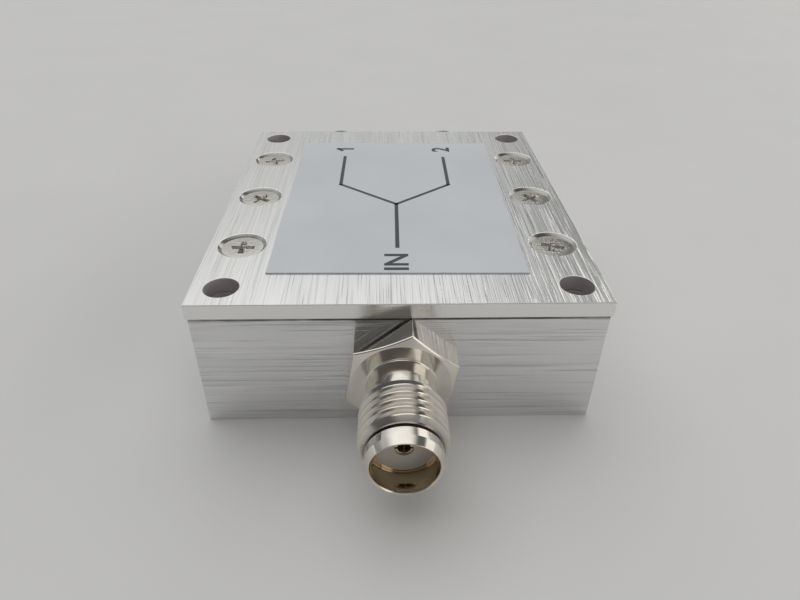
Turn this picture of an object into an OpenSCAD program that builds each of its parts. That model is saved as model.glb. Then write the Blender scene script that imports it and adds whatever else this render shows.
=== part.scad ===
// Two-way radio-frequency power splitter.
// A milled aluminium case carries one input jack and two output jacks, a transformer
// board inside, and a flat lid held down by countersunk screws.
// Millimetres. The origin is the centre of the base; the input jack faces -Y, +Z is up.

/* [Case and lid] */
// Width of the lid, side to side
lid_w = 32; // [30:0.5:44]
// Length of the lid, front to back
lid_l = 37; // [36:0.5:50]
// Thickness of the lid plate
lid_t = 1.3; // [1.2:0.1:2.4]
// How far the lid stands proud of the case on every side
lid_overhang = 0.15; // [0:0.05:0.4]
// Height of the case under the lid
case_h = 10.4; // [10:0.1:14]
// Bevel broken on every outer edge of the case and the lid
edge_break = 0.06; // [0.05:0.01:0.2]
// Thickness of the case floor
floor_t = 1.6; // [1.4:0.1:2]
// Thickness of the side walls, which hold the lid screws
side_wall = 4.6; // [4.4:0.1:5.5]
// Thickness of the end walls, which hold the jacks
end_wall = 4; // [3.5:0.1:5]
// Corner radius that the cutter leaves in the cavity
cavity_r = 2; // [1:0.25:2.5]

/* [Mounting holes] */
// Diameter of the four corner holes, through lid and case
corner_hole_d = 2.7; // [2.2:0.1:3]
// Distance of each corner hole from the lid's two edges
corner_hole_inset = 2.4; // [2.2:0.1:2.8]

/* [Lid screws] */
// Number of screws along each side
screw_rows = 3; // [2:1:4]
// Distance between screws along a side
screw_pitch = 9.6; // [6:0.1:10]
// Distance of each screw from the lid's side edge
screw_inset = 2.8; // [2.6:0.1:3]
// Thread diameter of a lid screw
screw_d = 2; // [1.6:0.1:2]
// Diameter of a lid screw's countersunk head
screw_head_d = 3.6; // [3.2:0.1:3.8]
// Overall length of a lid screw
screw_l = 6; // [4:0.5:8]
// Diameter of the countersink at the lid's face
countersink_d = 4.1; // [3.9:0.1:4.2]
// Diameter of the clearance hole under the countersink
screw_clear_d = 2.2; // [2.1:0.1:2.4]
// Width of the arms of the cross recess in a screw head
recess_arm_w = 0.5; // [0.3:0.05:0.6]
// Span of the cross recess over two arms
recess_span = 2; // [1.6:0.1:2.2]
// Depth of the cross recess
recess_depth = 0.6; // [0.4:0.05:0.8]
// How far each screw's recess is turned on from the last one's, in degrees
recess_turn = 53; // [0:1:89]

/* [Label] */
// Width of the label, side to side
label_w = 20.8; // [12:0.1:21]
// Length of the label, front to back
label_l = 28.6; // [16:0.1:30]
// Thickness of the label film
label_t = 0.1; // [0.05:0.01:0.2]
// How far the label is turned clockwise, in degrees
label_skew = 0.6; // [0:0.1:1]

/* [Jack shells] */
// Height of the jack axes above the base
jack_z = 5.8; // [5.2:0.1:5.8]
// Distance between the two output jacks
output_pitch = 14; // [12:0.5:16]
// Hexagon of a jack, across its flats
hex_af = 8; // [7.4:0.1:8.6]
// Thickness of the hexagon
hex_t = 2.55; // [1.6:0.05:3]
// Diameter where the hexagon's front bevel meets its front face
hex_face_d = 7.6; // [7:0.1:7.9]
// Diameter of the smooth neck between hexagon and thread
neck_d = 5.3; // [5:0.05:5.6]
// Length of the smooth neck
neck_l = 2.2; // [1:0.1:4]
// Outside diameter of the coupling thread
thread_d = 6.35; // [6.2:0.05:6.5]
// Length of the coupling thread
thread_l = 4.25; // [3:0.05:6]
// Bevel on the front end of the coupling thread
thread_lead = 0.4; // [0.2:0.05:0.45]
// Bottom diameter of the groove that ends the thread
groove_d = 5.1; // [5:0.05:5.2]
// Width of the groove that ends the thread
groove_w = 0.15; // [0.1:0.05:0.4]
// Diameter of the plain collar at the mouth
collar_d = 5.4; // [5.35:0.05:5.6]
// Length of the plain collar
collar_l = 1.3; // [0.8:0.05:2]
// How far the collar is drawn in at the mouth
collar_taper = 0.25; // [0.1:0.05:0.25]
// Length over which the collar is drawn in
collar_taper_l = 0.6; // [0.3:0.05:0.7]
// Bore of the mouth
mouth_d = 4.6; // [4.5:0.05:4.65]
// Depth of the mouth, down to the insulator
mouth_depth = 1.8; // [1.2:0.1:2.5]
// Bevel on the mouth's inner edge
mouth_bevel = 0.1; // [0.05:0.01:0.12]
// Diameter of the thread that screws into the case
stub_d = 6; // [5.6:0.05:6.2]
// How far the stub stops short of the wall's inner face
stub_setback = 0.3; // [0.1:0.1:1]
// Bevel on the stub's inner end
stub_bevel = 0.4; // [0.2:0.1:0.6]
// Clockwise turn of the input jack's hexagon from corner-up, in degrees
hex_turn_input = 10; // [0:1:59]
// Clockwise turn of the first output jack's hexagon, in degrees
hex_turn_output_1 = 47; // [0:1:59]
// Clockwise turn of the second output jack's hexagon, in degrees
hex_turn_output_2 = 22; // [0:1:59]

/* [Jack insulators and contacts] */
// Diameter of an insulator
insulator_d = 4.1; // [3.8:0.05:4.3]
// Diameter of a centre contact inside its insulator
contact_d = 1.27; // [1.1:0.01:1.5]
// Bore of the contact's socket
socket_d = 0.94; // [0.9:0.01:1]
// Depth of the contact's socket
socket_depth = 2.6; // [2:0.1:4]
// Width of the slits that make the socket springy
slit_w = 0.16; // [0.1:0.02:0.2]
// Length of the slits
slit_l = 2; // [1:0.1:2.5]
// How far the contact sits behind the insulator's face
contact_setback = 0.1; // [0:0.05:0.25]
// Diameter of the tail that is soldered to the board
tail_d = 0.9; // [0.7:0.05:1.2]
// Length of tail that lies over the board
tail_over_board = 2; // [1.2:0.1:2.4]

/* [Circuit board] */
// Thickness of the board
board_t = 1; // [0.8:0.1:1.6]
// Height of the printed copper above the laminate
copper_t = 0.07; // [0.04:0.01:0.1]
// Width of the printed signal tracks
track_w = 1.8; // [1.6:0.1:2]
// Side of the corner pads that the board rests on
pad_side = 4.6; // [4.2:0.1:5]
// Distance of the board screws from the cavity walls
board_screw_inset = 2.4; // [2.2:0.1:2.6]
// Thread diameter of a board screw
board_screw_d = 2; // [1.6:0.1:2]
// Head diameter of a board screw
board_screw_head_d = 3.4; // [3:0.1:3.8]
// Head height of a board screw
board_screw_head_h = 1.2; // [1:0.1:1.4]
// Length of a board screw under its head
board_screw_l = 3.2; // [2.4:0.1:3.6]
// Thickness of solder under a tail
solder_gap = 0.1; // [0.05:0.05:0.2]
// Height of solder over a tail
solder_cover = 0.2; // [0.1:0.05:0.4]
// Length of a solder joint, in from the board's edge
solder_l = 1.5; // [1:0.1:1.8]
// Side of the copper pads under the winding's ends
wire_pad = 0.9; // [0.6:0.1:1]

/* [Transformers] */
// Width of a two-hole ferrite core
core_w = 5; // [4.4:0.1:6]
// Length of a core along its holes
core_l = 4; // [3:0.1:5]
// Height of a core
core_h = 2.8; // [2.4:0.1:3.2]
// Diameter of a core's holes
core_hole_d = 1.2; // [1:0.05:1.3]
// Distance between a core's holes
core_hole_pitch = 2.2; // [2:0.1:2.6]
// Diameter of the enamelled winding wire
wire_d = 0.25; // [0.15:0.01:0.28]
// Whole turns in a winding, besides its last pass
wire_turns = 2; // [1:1:2]
// Distance of the matching transformer in front of the board's centre
matching_y = 6; // [5:0.1:6.5]
// Distance of the splitting transformer behind the board's centre
splitter_y = 1.8; // [1:0.1:2]

/* [Chip parts] */
// Length of a chip resistor or capacitor
chip_l = 2; // [1.6:0.1:2.2]
// Width of a chip part
chip_w = 1.25; // [0.8:0.05:1.4]
// Height of the resistor
resistor_h = 0.55; // [0.4:0.05:0.8]
// Height of a capacitor
capacitor_h = 0.9; // [0.6:0.05:1.2]
// Distance of the resistor behind the board's centre
resistor_y = 7.9; // [7.7:0.1:8.2]

/* [Fits] */
// Gap all round a piece that is pressed, screwed or slid into another
fit_gap = 0.02; // [0.01:0.01:0.05]
// Gap between the board's edge and the cavity wall
board_gap = 0.3; // [0.2:0.05:0.6]
// Gap round a screw in the board's clearance holes
board_hole_gap = 0.1; // [0.05:0.05:0.2]
// Depth of a tapped hole past its screw's end
tap_allowance = 0.4; // [0.2:0.1:0.8]

/* [Hidden] */
$fn = 96;
overcut = 0.2;
quarter_turn = 90;
hex_sides = 6;
corner_up = quarter_turn - 360 / hex_sides;
hex_bevel_angle = 20;

case_w = lid_w - 2 * lid_overhang;
case_l = lid_l - 2 * lid_overhang;
case_front = case_l / 2;
lid_top = case_h + lid_t;
cavity_w = case_w - 2 * side_wall;
cavity_l = case_l - 2 * end_wall;

corner_x = lid_w / 2 - corner_hole_inset;
corner_y = lid_l / 2 - corner_hole_inset;
screw_x = lid_w / 2 - screw_inset;
screw_sink = (countersink_d - screw_head_d) / 2;
screw_below_lid = screw_l - lid_t + screw_sink;

hex_corner_d = hex_af / cos(180 / hex_sides);
hex_bevel_h = (hex_corner_d - hex_face_d) / 2 * tan(hex_bevel_angle);
thread_start = hex_t + neck_l;
thread_rise = (thread_d - neck_d) / 2;
thread_end = thread_start + thread_l;
collar_start = thread_end + groove_w;
jack_reach = collar_start + collar_l;
stub_l = end_wall - stub_setback;
output_x = output_pitch / 2;

board_w = cavity_w - 2 * board_gap;
board_l = cavity_l - 2 * board_gap;
copper_top = jack_z - tail_d / 2 - solder_gap;
board_top = copper_top - copper_t;
board_bottom = board_top - board_t;
board_screw_x = cavity_w / 2 - board_screw_inset;
board_screw_y = cavity_l / 2 - board_screw_inset;
// Two screws stand in the front corners, and one between the output jacks.
board_screw_spots = [
    [-board_screw_x, -board_screw_y], [board_screw_x, -board_screw_y], [0, board_screw_y]
];
tail_l = stub_setback + board_gap + tail_over_board;
// A winding's end spreads three wire widths out from its hole, and lands six widths from the core.
wire_end_x = core_hole_pitch / 2 + 3 * wire_d;
wire_end_reach = core_l / 2 + 6 * wire_d;
input_pad_y = -matching_y - wire_end_reach;
output_pad_y = splitter_y + wire_end_reach;
land_l = chip_l / 2;
capacitor_spots = [[-core_w / 2 - chip_l, -matching_y], [core_w / 2 + chip_l, -matching_y]];
resistor_spot = [0, resistor_y];

// Shared shapes

// A flat rectangle, centred, with its four corners cut off at 45 degrees.
module bevelled_rectangle(width, length, bevel) {
    x = width / 2;
    y = length / 2;
    polygon([
        [x - bevel, -y], [x, bevel - y], [x, y - bevel], [x - bevel, y],
        [bevel - x, y], [-x, y - bevel], [-x, bevel - y], [bevel - x, -y]
    ]);
}

// A block standing on z = 0 with all twelve edges broken.
module bevelled_block(width, length, height, bevel) {
    intersection() {
        linear_extrude(height) bevelled_rectangle(width, length, bevel);
        translate([0, length / 2, height / 2]) rotate([90, 0, 0])
            linear_extrude(length) bevelled_rectangle(width, height, bevel);
        translate([-width / 2, 0, height / 2]) rotate([90, 0, 90])
            linear_extrude(width) bevelled_rectangle(length, height, bevel);
    }
}

// A flat rectangle, centred, with round corners.
module rounded_rectangle(width, length, radius) {
    square([width - 2 * radius, length], center = true);
    square([width, length - 2 * radius], center = true);
    for (x = [-1, 1], y = [-1, 1])
        translate([x * (width / 2 - radius), y * (length / 2 - radius)]) circle(radius);
}

// The four corner holes, cut from z = bottom to z = top.
module corner_holes(bottom, top) {
    for (x = [-corner_x, corner_x], y = [-corner_y, corner_y])
        translate([x, y, bottom]) cylinder(h = top - bottom, d = corner_hole_d);
}

// Places its children at every lid screw, at the height of the lid's face. Each screw was
// driven until it held, so each stopped at a turn of its own.
module at_lid_screws() {
    for (side = [0, 1], row = [0 : screw_rows - 1])
        translate([(2 * side - 1) * screw_x, (row - (screw_rows - 1) / 2) * screw_pitch, lid_top])
            rotate((side * screw_rows + row) * recess_turn) children();
}

// Places its children on a jack's axis, with their +Z pointing out of the wall.
module at_input() {
    translate([0, -case_front, jack_z]) rotate([quarter_turn, 0, 0]) children();
}
module at_output(side) {
    translate([side * output_x, case_front, jack_z]) rotate([-quarter_turn, 0, 0]) children();
}

// A cross recess, cut downwards from z = 0.
module cross_recess(span, arm_w, depth) {
    translate([0, 0, -depth]) linear_extrude(depth + overcut)
        for (turn = [0, quarter_turn]) rotate(turn) square([span, arm_w], center = true);
}

// Case

// The cavity: full width above the board, and below it the floor between the board's rests.
module cavity() {
    translate([0, 0, board_bottom]) linear_extrude(case_h - board_bottom + overcut)
        rounded_rectangle(cavity_w, cavity_l, cavity_r);
    translate([0, 0, floor_t]) linear_extrude(case_h - floor_t)
        difference() {
            rounded_rectangle(cavity_w, cavity_l, cavity_r);
            for (x = [-1, 1], y = [-1, 1])
                translate([x * cavity_w / 2, y * cavity_l / 2]) square(2 * pad_side, center = true);
            translate([0, cavity_l / 2]) square([pad_side, 2 * pad_side], center = true);
        }
}

module housing() color("lightgray") difference() {
    bevelled_block(case_w, case_l, case_h, edge_break);
    cavity();
    corner_holes(-overcut, case_h + overcut);
    at_lid_screws() translate([0, 0, -lid_t - screw_below_lid - tap_allowance])
        cylinder(h = lid_t + screw_below_lid + tap_allowance, d = screw_d + 2 * fit_gap);
    at_input() jack_bore();
    for (side = [-1, 1]) at_output(side) jack_bore();
    for (spot = board_screw_spots)
        translate([spot[0], spot[1], board_bottom - board_screw_l + board_t - tap_allowance])
            cylinder(h = board_screw_l + tap_allowance, d = board_screw_d + 2 * fit_gap);
}

// The tapped hole for a jack, through an end wall.
module jack_bore() {
    translate([0, 0, -end_wall - overcut])
        cylinder(h = end_wall + 2 * overcut, d = stub_d + 2 * fit_gap);
}

module lid() color("gainsboro") difference() {
    translate([0, 0, case_h]) bevelled_block(lid_w, lid_l, lid_t, edge_break);
    corner_holes(case_h - overcut, lid_top + overcut);
    at_lid_screws() {
        translate([0, 0, -lid_t - overcut]) cylinder(h = lid_t + 2 * overcut, d = screw_clear_d);
        translate([0, 0, -countersink_d / 2])
            cylinder(h = countersink_d / 2, d1 = 0, d2 = countersink_d);
    }
}

// The head's cone lies on the countersink's cone, a fit gap above it.
module lid_screw() {
    head_top = fit_gap - screw_sink;
    cone_h = (screw_head_d - screw_d) / 2;
    difference() {
        union() {
            translate([0, 0, head_top - cone_h]) cylinder(h = cone_h, d1 = screw_d, d2 = screw_head_d);
            translate([0, 0, head_top - screw_l]) cylinder(h = screw_l - cone_h, d = screw_d);
        }
        translate([0, 0, head_top]) cross_recess(recess_span, recess_arm_w, recess_depth);
    }
}

module lid_screws() color("silver") at_lid_screws() lid_screw();

module label() color("lightsteelblue") translate([0, 0, lid_top]) rotate(-label_skew)
    linear_extrude(label_t) square([label_w, label_l], center = true);

// Jacks, drawn with the wall at z = 0 and the mouth at z = jack_reach

module jack_shell(turn) color("darkgray") difference() {
    union() {
        rotate(corner_up - turn) intersection() {
            cylinder(h = hex_t, d = hex_corner_d, $fn = hex_sides);
            rotate_extrude() polygon([
                [0, 0], [hex_corner_d / 2 + overcut, 0],
                [hex_corner_d / 2 + overcut, hex_t - hex_bevel_h - overcut * tan(hex_bevel_angle)],
                [hex_face_d / 2, hex_t], [0, hex_t]
            ]);
        }
        rotate_extrude() polygon([
            [0, -stub_l], [stub_d / 2 - stub_bevel, -stub_l],
            [stub_d / 2, stub_bevel - stub_l], [stub_d / 2, 0],
            [neck_d / 2, 0], [neck_d / 2, thread_start],
            [thread_d / 2, thread_start + thread_rise], [thread_d / 2, thread_end - thread_lead],
            [thread_d / 2 - thread_lead, thread_end],
            [groove_d / 2, thread_end], [groove_d / 2, collar_start],
            [collar_d / 2, collar_start], [collar_d / 2, jack_reach - collar_taper_l],
            [collar_d / 2 - collar_taper, jack_reach], [0, jack_reach]
        ]);
    }
    translate([0, 0, -stub_l - overcut])
        cylinder(h = stub_l + jack_reach, d = insulator_d + 2 * fit_gap);
    translate([0, 0, jack_reach - mouth_depth]) cylinder(h = mouth_depth + overcut, d = mouth_d);
    translate([0, 0, jack_reach - mouth_bevel])
        cylinder(h = mouth_bevel, d1 = mouth_d, d2 = mouth_d + 2 * mouth_bevel);
}

module jack_insulator() color("white") difference() {
    translate([0, 0, -stub_l]) cylinder(h = stub_l + jack_reach - mouth_depth, d = insulator_d);
    translate([0, 0, -stub_l - overcut])
        cylinder(h = stub_l + jack_reach + overcut, d = contact_d + 2 * fit_gap);
}

module jack_contact() color("gold") {
    contact_end = jack_reach - mouth_depth - contact_setback;
    difference() {
        union() {
            translate([0, 0, -stub_l]) cylinder(h = stub_l + contact_end, d = contact_d);
            translate([0, 0, -stub_l - tail_l]) cylinder(h = tail_l + overcut, d = tail_d);
        }
        translate([0, 0, contact_end - socket_depth]) cylinder(h = socket_depth + overcut, d = socket_d);
        for (turn = [0, quarter_turn]) rotate(turn)
            translate([-contact_d, -slit_w / 2, contact_end - slit_l])
                cube([2 * contact_d, slit_w, slit_l + overcut]);
    }
}

// Circuit board

// A printed strip between two corners, on the laminate.
module copper(from, to) {
    translate([from[0], from[1], board_top - copper_t])
        cube([to[0] - from[0], to[1] - from[1], 2 * copper_t]);
}

module circuit_board() color("seagreen") difference() {
    union() {
        translate([0, 0, board_bottom]) linear_extrude(board_t)
            rounded_rectangle(board_w, board_l, cavity_r);
        // The input track, its branch to the matching winding, and that winding's far pad.
        copper([-track_w / 2, -board_l / 2], [track_w / 2, input_pad_y + wire_pad / 2]);
        copper([-wire_end_x - wire_pad / 2, input_pad_y - wire_pad / 2],
               [0, input_pad_y + wire_pad / 2]);
        copper([wire_end_x - wire_pad / 2, input_pad_y - wire_pad / 2],
               [wire_end_x + wire_pad / 2, input_pad_y + wire_pad / 2]);
        // The link from the matching core to the splitting core.
        copper([-track_w / 2, -matching_y + core_l / 2], [track_w / 2, splitter_y - core_l / 2]);
        // The two output tracks, each with a branch to one end of the resistor.
        for (side = [0, 1]) mirror([side, 0, 0]) {
            copper([chip_l / 4, output_pad_y - wire_pad / 2], [output_x, output_pad_y + wire_pad / 2]);
            copper([output_x - track_w / 2, output_pad_y - wire_pad / 2],
                   [output_x + track_w / 2, board_l / 2]);
            copper([chip_l / 4, output_pad_y], [chip_l / 4 + land_l, resistor_y]);
        }
        for (spot = concat(capacitor_spots, [resistor_spot])) chip_lands(spot);
    }
    for (spot = board_screw_spots)
        translate([spot[0], spot[1], board_bottom - overcut])
            cylinder(h = board_t + 2 * overcut, d = board_screw_d + 2 * board_hole_gap);
}

// The two tinned lands under a chip part, each half under its end.
module chip_lands(spot) {
    for (end = [-1, 1]) {
        middle = spot[0] + end * chip_l / 2;
        copper([middle - land_l / 2, spot[1] - chip_w / 2], [middle + land_l / 2, spot[1] + chip_w / 2]);
    }
}

module board_screw() {
    difference() {
        union() {
            cylinder(h = board_screw_head_h, d = board_screw_head_d);
            translate([0, 0, -board_screw_l]) cylinder(h = board_screw_l + overcut, d = board_screw_d);
        }
        translate([0, 0, board_screw_head_h]) cross_recess(recess_span, recess_arm_w, recess_depth);
    }
}

module board_screws() color("silver") for (spot = board_screw_spots)
    translate([spot[0], spot[1], board_top]) board_screw();

// A fillet of solder round a tail, from the copper to just over the tail.
module solder_joint() {
    foot = track_w / 2 - solder_gap;
    crest = tail_d / 2 + solder_cover;
    translate([0, 0, -stub_l - tail_l + tail_over_board - solder_l]) difference() {
        linear_extrude(solder_l) polygon([
            [-foot, -tail_d / 2 - solder_gap], [foot, -tail_d / 2 - solder_gap],
            [crest, 0], [crest / 2, crest], [-crest / 2, crest], [-crest, 0]
        ]);
        translate([0, 0, -overcut]) cylinder(h = solder_l + 2 * overcut, d = tail_d + 2 * fit_gap);
    }
}

module solder_joints() color("silver") {
    at_input() solder_joint();
    for (side = [-1, 1]) at_output(side) mirror([0, 1, 0]) solder_joint();
}

// Transformers

// A two-hole core lying on the board, its holes along Y, its centre at the given y.
module core(centre_y) color("dimgray") translate([0, centre_y + core_l / 2, board_top + core_h / 2])
    rotate([quarter_turn, 0, 0]) linear_extrude(core_l) difference() {
        union() {
            square([core_w - core_h, core_h], center = true);
            for (side = [-1, 1]) translate([side * (core_w - core_h) / 2, 0]) circle(core_h / 2);
        }
        for (side = [-1, 1]) translate([side * core_hole_pitch / 2, 0]) circle(core_hole_d / 2);
    }

// The wire's route through the two holes, about the core's centre, with its ends on the front side.
arc_steps = 8;
last_pass = 2 * wire_turns + 1;
wire_rise = 1.2 * wire_d;
pass_half = core_l / 2 + wire_d;
loop_r = core_hole_pitch / 2;
function wire_level(pass) = (pass - last_pass / 2) * wire_rise / 2;
function wire_pass(pass) =
    let (side = pass % 2 == 0 ? -1 : 1)
    [for (y = [side * pass_half, -side * pass_half]) [side * loop_r, y, wire_level(pass)]];
function wire_bend(pass) =
    let (side = pass % 2 == 0 ? -1 : 1)
    [for (step = [1 : arc_steps - 1])
        let (angle = 180 * step / arc_steps)
        [side * loop_r * cos(angle), -side * (pass_half + loop_r * sin(angle)),
         wire_level(pass + step / arc_steps)]];
wire_end_z = copper_t + (wire_d - core_h) / 2;
function wire_lead(side, level) = [
    [side * wire_end_x, -wire_end_reach, wire_end_z],
    [side * wire_end_x, -wire_end_reach + wire_d, wire_end_z + wire_d],
    [side * (wire_end_x - wire_d), -pass_half - 2 * wire_d, level]
];
function reversed(list) = [for (i = [len(list) - 1 : -1 : 0]) list[i]];
wire_route = concat(
    wire_lead(-1, wire_level(0)),
    [for (pass = [0 : last_pass]) each concat(wire_pass(pass), pass < last_pass ? wire_bend(pass) : [])],
    reversed(wire_lead(1, wire_level(last_pass)))
);

// A round tube along a list of points: each ring is turned as little as possible from the last.
tube_sides = 8;
function unit(v) = v / norm(v);
function heading(points, i) = unit(points[min(i + 1, len(points) - 1)] - points[max(i - 1, 0)]);
function squared_to(v, direction) = unit(v - (v * direction) * direction);
function ring_normals(points, i, found) =
    i == len(points) ? found
    : ring_normals(points, i + 1, concat(found, [squared_to(found[i - 1], heading(points, i))]));
module tube(points, diameter) {
    normals = ring_normals(points, 1, [squared_to([1, 0, 0], heading(points, 0))]);
    rings = [for (i = [0 : len(points) - 1])
        let (across = normals[i], up = cross(heading(points, i), across))
        for (k = [0 : tube_sides - 1])
            let (angle = 360 * k / tube_sides)
            points[i] + diameter / 2 * (across * cos(angle) + up * sin(angle))];
    last_ring = (len(points) - 1) * tube_sides;
    polyhedron(rings, concat(
        [[for (k = [tube_sides - 1 : -1 : 0]) k]],
        [for (i = [0 : len(points) - 2], k = [0 : tube_sides - 1])
            let (a = i * tube_sides + k, b = i * tube_sides + (k + 1) % tube_sides)
            each [[a, b, b + tube_sides], [a, b + tube_sides, a + tube_sides]]],
        [[for (k = [0 : tube_sides - 1]) last_ring + k]]
    ));
}

module winding(centre_y, facing) color("chocolate")
    translate([0, centre_y, board_top + core_h / 2]) rotate(facing) tube(wire_route, wire_d);

// Chip parts

module chip(spot, height) {
    translate([spot[0] - chip_l / 2, spot[1] - chip_w / 2, copper_top]) cube([chip_l, chip_w, height]);
}

module isolation_resistor() color("black") chip(resistor_spot, resistor_h);

module chip_capacitors() color("tan") for (spot = capacitor_spots) chip(spot, capacitor_h);

housing();
lid();
lid_screws();
label();
at_input() jack_shell(hex_turn_input);  // shell_input
at_output(-1) jack_shell(hex_turn_output_1);  // shell_output_1
at_output(1) jack_shell(hex_turn_output_2);  // shell_output_2
at_input() jack_insulator();  // insulator_input
at_output(-1) jack_insulator();  // insulator_output_1
at_output(1) jack_insulator();  // insulator_output_2
at_input() jack_contact();  // contact_input
at_output(-1) jack_contact();  // contact_output_1
at_output(1) jack_contact();  // contact_output_2
circuit_board();
board_screws();
solder_joints();
core(-matching_y);  // matching_core
winding(-matching_y, 0);  // matching_winding
core(splitter_y);  // splitter_core
winding(splitter_y, 180);  // splitter_winding
isolation_resistor();
chip_capacitors();
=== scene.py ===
# %% [markdown]
# # A two-way radio-frequency power splitter
# The part is a milled aluminium box with a screwed-on lid, three threaded coaxial jacks and a small
# transformer board inside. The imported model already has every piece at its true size, so this lesson
# only gives the pieces their finish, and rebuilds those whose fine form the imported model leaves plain:
# threads, cross recesses, broken edges, and the printed label.

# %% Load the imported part
import math

import bmesh
import bpy
from mathutils import Matrix, Vector

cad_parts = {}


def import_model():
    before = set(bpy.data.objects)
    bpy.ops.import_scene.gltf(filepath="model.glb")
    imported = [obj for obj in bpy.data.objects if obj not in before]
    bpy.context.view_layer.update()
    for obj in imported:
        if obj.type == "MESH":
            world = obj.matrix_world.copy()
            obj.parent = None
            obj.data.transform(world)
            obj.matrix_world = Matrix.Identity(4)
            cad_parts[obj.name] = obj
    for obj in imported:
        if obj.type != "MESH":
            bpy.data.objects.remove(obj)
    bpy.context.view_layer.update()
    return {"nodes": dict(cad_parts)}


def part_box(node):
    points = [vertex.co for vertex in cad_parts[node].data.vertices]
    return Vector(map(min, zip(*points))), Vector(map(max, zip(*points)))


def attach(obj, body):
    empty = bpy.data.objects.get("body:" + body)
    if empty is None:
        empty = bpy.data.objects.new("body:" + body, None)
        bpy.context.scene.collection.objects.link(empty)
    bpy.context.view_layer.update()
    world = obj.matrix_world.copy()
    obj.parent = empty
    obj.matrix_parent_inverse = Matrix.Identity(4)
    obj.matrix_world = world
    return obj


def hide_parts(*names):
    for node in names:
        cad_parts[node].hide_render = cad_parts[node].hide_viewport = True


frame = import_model()
MM = 0.001
print("nodes:", len(frame["nodes"]))

# %% [markdown]
# ## Places taken from the frame
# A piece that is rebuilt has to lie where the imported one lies. The lid gives the height of its face, the
# case gives the two end walls, and a contact lies on its jack's axis, so its box gives that axis.

# %% Read the places
lid_low, lid_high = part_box("lid")
case_low, case_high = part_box("housing")
LID_FACE = lid_high.z
JACKS = ("input", "output_1", "output_2")


def jack_place(name):
    """The matrix that takes a jack drawn along +Z from its wall, in millimetres, to its place."""
    low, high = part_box("contact_" + name)
    axis = (low + high) / 2
    faces_front = axis.y < 0
    wall = case_low.y if faces_front else case_high.y
    turn = math.radians(90 if faces_front else -90)
    move = Matrix.Translation((axis.x, wall, axis.z))
    return move @ Matrix.Rotation(turn, 4, "X") @ Matrix.Scale(MM, 4)


print("lid face at", round(LID_FACE / MM, 2), "mm; input jack at", jack_place("input").translation)

# %% [markdown]
# ## The camera
# The view looks down on the lid from in front of the input jack, close by, with a wide lens. Its place and
# its three angles were solved from the lid's corners, its holes and its screws.

# %% Set the camera
CAMERA_PLACE = Vector((-1.319, -55.165, 37.352)) * MM
CAMERA_YAW = math.radians(-1.887)
CAMERA_PITCH = math.radians(34.561)
CAMERA_ROLL = math.radians(-0.665)
CAMERA_LENS = 27.568
CAMERA_SENSOR = 36.0

camera_data = bpy.data.cameras.new("camera")
camera_data.sensor_width = CAMERA_SENSOR
camera_data.lens = CAMERA_LENS
camera_data.clip_start = 1 * MM
camera = bpy.data.objects.new("camera", camera_data)
camera.matrix_world = (
    Matrix.Translation(CAMERA_PLACE)
    @ Matrix.Rotation(CAMERA_YAW, 4, "Z")
    @ Matrix.Rotation(math.radians(90) - CAMERA_PITCH, 4, "X")
    @ Matrix.Rotation(-CAMERA_ROLL, 4, "Z")
)
bpy.context.scene.collection.objects.link(camera)
bpy.context.scene.camera = camera
bpy.context.scene.view_settings.view_transform = "Standard"
print("camera looks along", tuple(round(v, 3) for v in camera.matrix_world.to_3x3() @ Vector((0, 0, -1))))

# %% [markdown]
# ## Nodes with less typing
# Every material is a small tree of nodes. A few helpers keep the trees readable: one adds a node with its
# settings and inputs, small ones do sums and mix colours, and one starts a material with its shader and the
# coordinates of the object.

# %% Node helpers
def add(tree, kind, inputs=(), **settings):
    """Adds a node; inputs maps a socket's name or number to a value or to another node's output."""
    node = tree.nodes.new("ShaderNode" + kind)
    for name, value in settings.items():
        setattr(node, name, value)
    for name, value in dict(inputs).items():
        if isinstance(value, bpy.types.NodeSocket):
            tree.links.new(value, node.inputs[name])
        else:
            node.inputs[name].default_value = value
    return node


def math_node(tree, operation, first, second=0.5, third=0.5):
    """The result of one math node."""
    return add(tree, "Math", {0: first, 1: second, 2: third}, operation=operation).outputs[0]


def mix_colours(tree, factor, first, second):
    """The colour between two colours."""
    mix = add(tree, "Mix", {0: factor, 6: first, 7: second}, data_type="RGBA")
    return mix.outputs[2]


def remap(tree, value, low, high, to_low=0.0, to_high=1.0, smooth=True):
    """The value moved from one range to another, and held there."""
    kind = "SMOOTHSTEP" if smooth else "LINEAR"
    inputs = {"Value": value, 1: low, 2: high, 3: to_low, 4: to_high}
    return add(tree, "MapRange", inputs, interpolation_type=kind).outputs["Result"]


def rgb(red, green, blue):
    """A solid colour."""
    return (red, green, blue, 1.0)


def new_material(name, **constants):
    """A material with its shader's constants set; gives the material, its tree, shader and coordinates."""
    material = bpy.data.materials.new(name)
    material.use_nodes = True
    tree = material.node_tree
    shader = tree.nodes["Principled BSDF"]
    for socket, value in constants.items():
        shader.inputs[socket.replace("_", " ")].default_value = value
    place = add(tree, "TexCoord").outputs["Object"]
    return material, tree, shader, place


def set_bump(tree, shader, height, strength, distance):
    """Raises the surface by a height map; distance is in millimetres."""
    inputs = {"Height": height, "Strength": strength, "Distance": distance * MM}
    tree.links.new(add(tree, "Bump", inputs).outputs["Normal"], shader.inputs["Normal"])


print("helpers ready")

# %% [markdown]
# ## Effects that several finishes share
# A node group is an effect with named sockets, built once. Three are needed here. Brushing leaves long fine
# lines, so its noise is stretched: quick across the lines and slow along them. Plating carries soft stains
# and small rub marks. A fine speckle gives moulded and ceramic parts their grain.

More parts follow.
